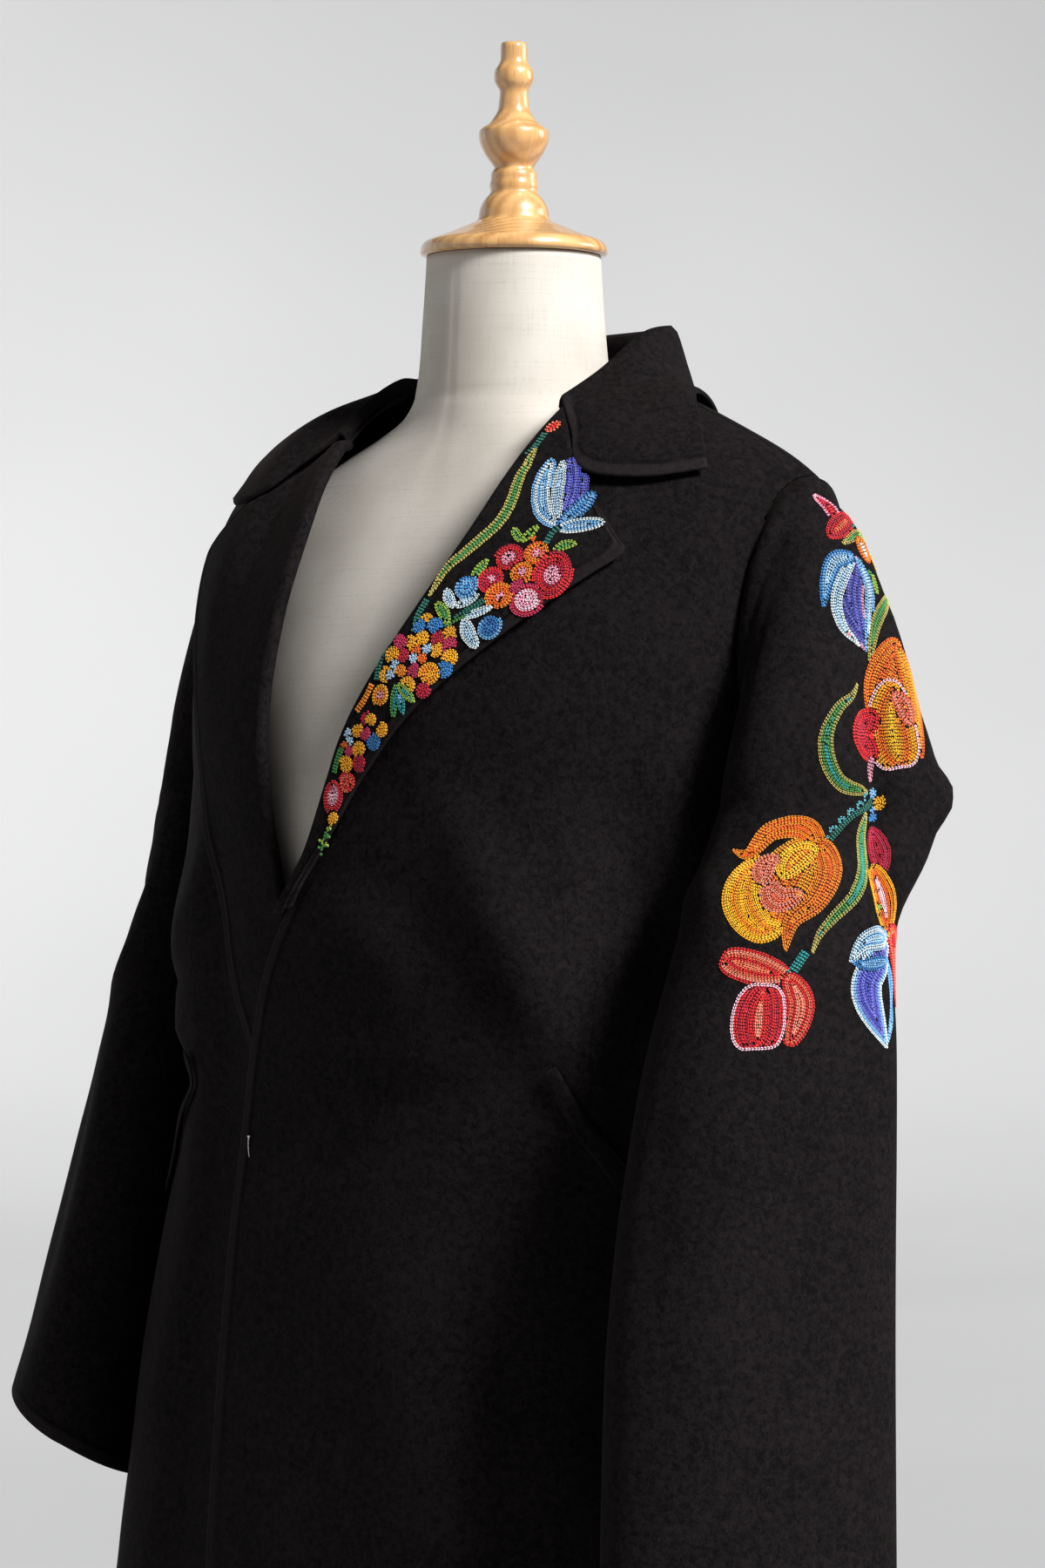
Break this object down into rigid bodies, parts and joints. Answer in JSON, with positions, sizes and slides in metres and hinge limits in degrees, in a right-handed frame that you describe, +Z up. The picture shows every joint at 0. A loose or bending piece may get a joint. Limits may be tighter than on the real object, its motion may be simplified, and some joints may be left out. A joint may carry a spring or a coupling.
{
  "type": "embroidered blazer on a dress form",
  "caption": "Long notched-lapel wool blazer with floral chain-stitch embroidery, worn closed on a limbless linen dress form with a turned wooden cap and a round stand.",
  "frame": {"origin": "centre of the round base's underside, on the floor under the neck's axis", "axes": "+Z up along the pole; the blazer faces -Y and the wearer's left is +X"},
  "size_m": [0.6881, 0.39, 1.6106],
  "materials": {
    "melton_wool": "matt felted wool",
    "linen": "slubby plain weave",
    "varnished_wood": "honey varnish, glossy",
    "embroidery_thread": "soft sheen",
    "pin_steel": "bright"
  },
  "bodies": {
    "root": {"front_left": "melton_wool", "front_right": "melton_wool", "back": "melton_wool", "lapel_left": "melton_wool", "lapel_right": "melton_wool", "collar": "melton_wool", "sleeve_left": "melton_wool", "sleeve_right": "melton_wool", "pocket_welt_left": "melton_wool", "pocket_welt_right": "melton_wool", "form_body": "linen", "neck_cap": "varnished_wood", "stand_pole": "varnished_wood", "stand_base": "varnished_wood"}
  },
  "joints": []
}
